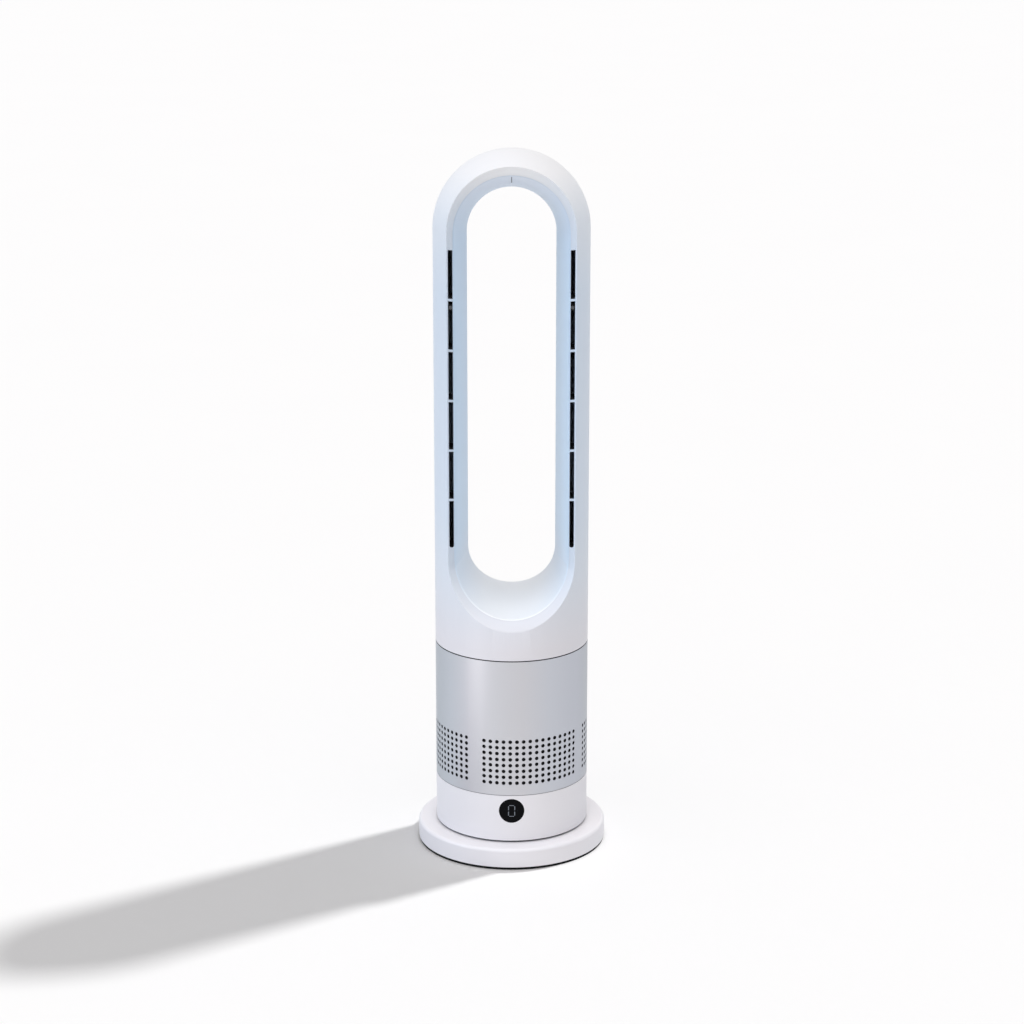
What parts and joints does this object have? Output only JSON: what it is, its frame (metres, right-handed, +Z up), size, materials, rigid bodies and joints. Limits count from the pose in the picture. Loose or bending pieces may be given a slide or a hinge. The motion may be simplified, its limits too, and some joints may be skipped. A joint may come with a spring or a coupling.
{
  "type": "bladeless fan",
  "caption": "Tall bladeless fan: open loop head with slotted rim on a perforated silver sleeve, and a collar with a round display that swings on a low round base.",
  "frame": {"origin": "middle of the base's circle, on the floor", "axes": "+Z up; the display and the rim of the loop face -Y; +X is to the right of a person who faces the display"},
  "size_m": [0.2476, 0.2476, 0.9235],
  "materials": {
    "white_gloss": "smooth white moulding with a cool tint",
    "white_base": "smooth white moulding",
    "silver_satin": "satin silver paint",
    "black_gloss": "polished black window",
    "black_plastic": "fine matt grain",
    "black_rubber": "matt",
    "dark_plastic": "fine matt grain",
    "duct_plastic": "plain moulding",
    "slide_plastic": "slippery cream moulding",
    "fan_plastic": "filled moulding",
    "led_plastic": "pale digit bars",
    "board_green": "green lacquer",
    "screen_fabric": "fine black mesh",
    "ballast_steel": "plain pressed steel",
    "screw_steel": "zinc plated",
    "shaft_steel": "ground",
    "bearing_steel": "ground",
    "motor_steel": "plated can",
    "post_aluminium": "die cast",
    "copper_winding": "lacquered copper"
  },
  "bodies": {
    "base": {"base_cover": "white_base", "foot_ring": "black_rubber", "base_plate": "dark_plastic", "ballast": "ballast_steel", "base_screws": "screw_steel", "pivot_post": "post_aluminium", "post_screws": "screw_steel", "glide_ring": "slide_plastic", "swivel_gear": "slide_plastic", "gear_screws": "screw_steel", "power_socket": "black_plastic"},
    "column": {"collar": "white_gloss", "display_lens": "black_gloss", "led_module": "led_plastic", "display_board": "board_green", "control_board": "board_green", "board_screws": "screw_steel", "swivel_motor": "motor_steel", "swivel_motor_screws": "screw_steel", "perforated_sleeve": "silver_satin", "dust_screen": "screen_fabric", "duct_seal": "black_rubber", "fan_shroud": "duct_plastic", "diffuser": "duct_plastic", "motor_base": "post_aluminium", "motor_stator": "copper_winding", "lower_bearing": "bearing_steel", "upper_bearing": "bearing_steel", "motor_screws": "screw_steel", "head_ring": "dark_plastic", "head_screws": "screw_steel", "loop_front_shell": "white_gloss", "loop_rear_shell": "white_gloss", "throat_liner": "white_gloss", "outlet_guide_left": "black_plastic", "outlet_guide_right": "black_plastic", "guide_screws": "screw_steel"},
    "fan_rotor": {"impeller": "fan_plastic", "impeller_shaft": "shaft_steel", "motor_rotor": "motor_steel", "impeller_nut": "screw_steel"},
    "pinion_drive": {"pinion": "slide_plastic", "pinion_shaft": "shaft_steel"}
  },
  "joints": [
    {"name": "column_swing", "type": "hinge", "parent": "base", "child": "column", "pos_m": [0, 0, 0.0312], "axis": [0, 0, 1], "range_deg": [-45, 45]},
    {"name": "impeller_spin", "type": "hinge", "parent": "column", "child": "fan_rotor", "pos_m": [0, 0, 0.2], "axis": [0, 0, 1], "continuous": true},
    {"name": "pinion_turn", "type": "hinge", "parent": "column", "child": "pinion_drive", "pos_m": [0, 0.0321, 0.0538], "axis": [0, 0, 1], "range_deg": [-135, 135]}
  ],
  "couplings": [
    {"joint": "pinion_turn", "follows": "column_swing", "ratio": 3}
  ]
}
